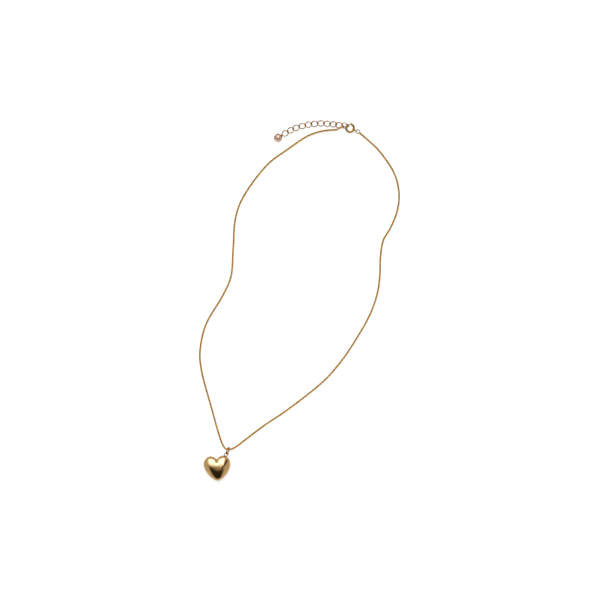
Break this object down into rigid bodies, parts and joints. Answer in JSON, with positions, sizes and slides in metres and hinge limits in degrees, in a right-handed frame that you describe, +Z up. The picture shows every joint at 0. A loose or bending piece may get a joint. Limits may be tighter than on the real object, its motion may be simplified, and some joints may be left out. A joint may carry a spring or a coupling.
{
  "type": "pendant necklace",
  "caption": "Fine-chain necklace with a hollow heart pendant on a bail, a spring-ring clasp and an open-link extender that ends in a bezel-set crystal.",
  "frame": {"origin": "on the surface that the necklace lies on, below the middle of everything but the fine chain", "axes": "+Z up off the surface, +Y from the heart towards the clasp, +X to the right when the necklace is seen from above with the clasp at the top"},
  "size_m": [0.1124, 0.2015, 0.0056],
  "materials": {
    "polished_gold": "polished gold plate",
    "chain_gold": "bright gold plate",
    "spring_steel": "drawn wire",
    "crystal": "clear, cut and polished"
  },
  "bodies": {
    "chain": {"fine_chain": "chain_gold"},
    "bail": {"bail_ring": "polished_gold"},
    "heart": {"heart_front_shell": "polished_gold", "heart_back_shell": "polished_gold", "heart_eyelet": "polished_gold"},
    "jump_ring": {"clasp_jump_ring": "polished_gold"},
    "clasp": {"clasp_tube": "polished_gold", "clasp_eyelet": "polished_gold", "clasp_spring": "spring_steel"},
    "bolt": {"clasp_bolt": "polished_gold"},
    "connector": {"connector_ring": "polished_gold"},
    "link_01": {"extender_link_01": "polished_gold"},
    "link_02": {"extender_link_02": "polished_gold"},
    "link_03": {"extender_link_03": "polished_gold"},
    "link_04": {"extender_link_04": "polished_gold"},
    "link_05": {"extender_link_05": "polished_gold"},
    "link_06": {"extender_link_06": "polished_gold"},
    "link_07": {"extender_link_07": "polished_gold"},
    "link_08": {"extender_link_08": "polished_gold"},
    "link_09": {"extender_link_09": "polished_gold"},
    "link_10": {"extender_link_10": "polished_gold"},
    "link_11": {"extender_link_11": "polished_gold"},
    "charm": {"charm_setting": "polished_gold", "charm_crystal": "crystal"}
  },
  "joints": [
    {"name": "bail_turn", "type": "hinge", "parent": "chain", "child": "bail", "pos_m": [-0.02999, -0.08349, 0.00198], "axis": [-0.9983, 0.0583, 0], "range_deg": [0, 110]},
    {"name": "heart_swing", "type": "hinge", "parent": "bail", "child": "heart", "pos_m": [-0.03115, -0.0863, 0.0028], "axis": [0, 0, 1], "range_deg": [-60, 60]},
    {"name": "jump_ring_swing", "type": "hinge", "parent": "chain", "child": "jump_ring", "pos_m": [0.04354, 0.09388, 0.00073], "axis": [0, 0, 1], "range_deg": [-8, 4]},
    {"name": "clasp_swing", "type": "hinge", "parent": "jump_ring", "child": "clasp", "pos_m": [0.04149, 0.09479, 0.00089], "axis": [0, 0, -1], "range_deg": [-7, 12]},
    {"name": "bolt_travel", "type": "hinge", "parent": "clasp", "child": "bolt", "pos_m": [0.0381, 0.0963, 0.00115], "axis": [0.0637, -0.0284, 0.9976], "range_deg": [-52, 0], "stiffness_Nm_per_rad": 0.0019, "springref_deg": 17.19, "deforming": ["clasp_spring"]},
    {"name": "connector_swing", "type": "hinge", "parent": "chain", "child": "connector", "pos_m": [0.03076, 0.09564, 0.00152], "axis": [0, 0, 1], "range_deg": [-8, 1]},
    {"name": "link_01_swing", "type": "hinge", "parent": "connector", "child": "link_01", "pos_m": [0.03484, 0.09736, 0.00114], "axis": [0, 0, 1], "range_deg": [-10, 1.5]},
    {"name": "link_02_swing", "type": "hinge", "parent": "link_01", "child": "link_02", "pos_m": [0.03369, 0.09787, 0.00107], "axis": [0, 0, 1], "range_deg": [-20, 2]},
    {"name": "link_03_swing", "type": "hinge", "parent": "link_02", "child": "link_03", "pos_m": [0.03032, 0.09814, 0.00088], "axis": [0, 0, -1], "range_deg": [-8, 20]},
    {"name": "link_04_swing", "type": "hinge", "parent": "link_03", "child": "link_04", "pos_m": [0.02695, 0.09854, 0.00089], "axis": [0, 0, 1], "range_deg": [-25, 9]},
    {"name": "link_05_swing", "type": "hinge", "parent": "link_04", "child": "link_05", "pos_m": [0.02347, 0.09892, 0.00088], "axis": [0, 0, -1], "range_deg": [-10, 25]},
    {"name": "link_06_swing", "type": "hinge", "parent": "link_05", "child": "link_06", "pos_m": [0.01997, 0.09889, 0.00088], "axis": [0, 0, 1], "range_deg": [-25, 12]},
    {"name": "link_07_swing", "type": "hinge", "parent": "link_06", "child": "link_07", "pos_m": [0.01648, 0.09851, 0.00088], "axis": [0, 0, -1], "range_deg": [-14, 25]},
    {"name": "link_08_swing", "type": "hinge", "parent": "link_07", "child": "link_08", "pos_m": [0.01304, 0.09789, 0.00088], "axis": [0, 0, 1], "range_deg": [-25, 17]},
    {"name": "link_09_swing", "type": "hinge", "parent": "link_08", "child": "link_09", "pos_m": [0.00964, 0.09707, 0.00088], "axis": [0, 0, -1], "range_deg": [-20, 25]},
    {"name": "link_10_swing", "type": "hinge", "parent": "link_09", "child": "link_10", "pos_m": [0.00635, 0.09584, 0.00088], "axis": [0, 0, 1], "range_deg": [-25, 20]},
    {"name": "link_11_swing", "type": "hinge", "parent": "link_10", "child": "link_11", "pos_m": [0.00326, 0.0942, 0.00088], "axis": [0, 0, -1], "range_deg": [-25, 25]},
    {"name": "charm_swing", "type": "hinge", "parent": "link_11", "child": "charm", "pos_m": [0, 0.09222, 0.0009], "axis": [-0.514, 0.8578, 0], "range_deg": [0, 34]}
  ]
}
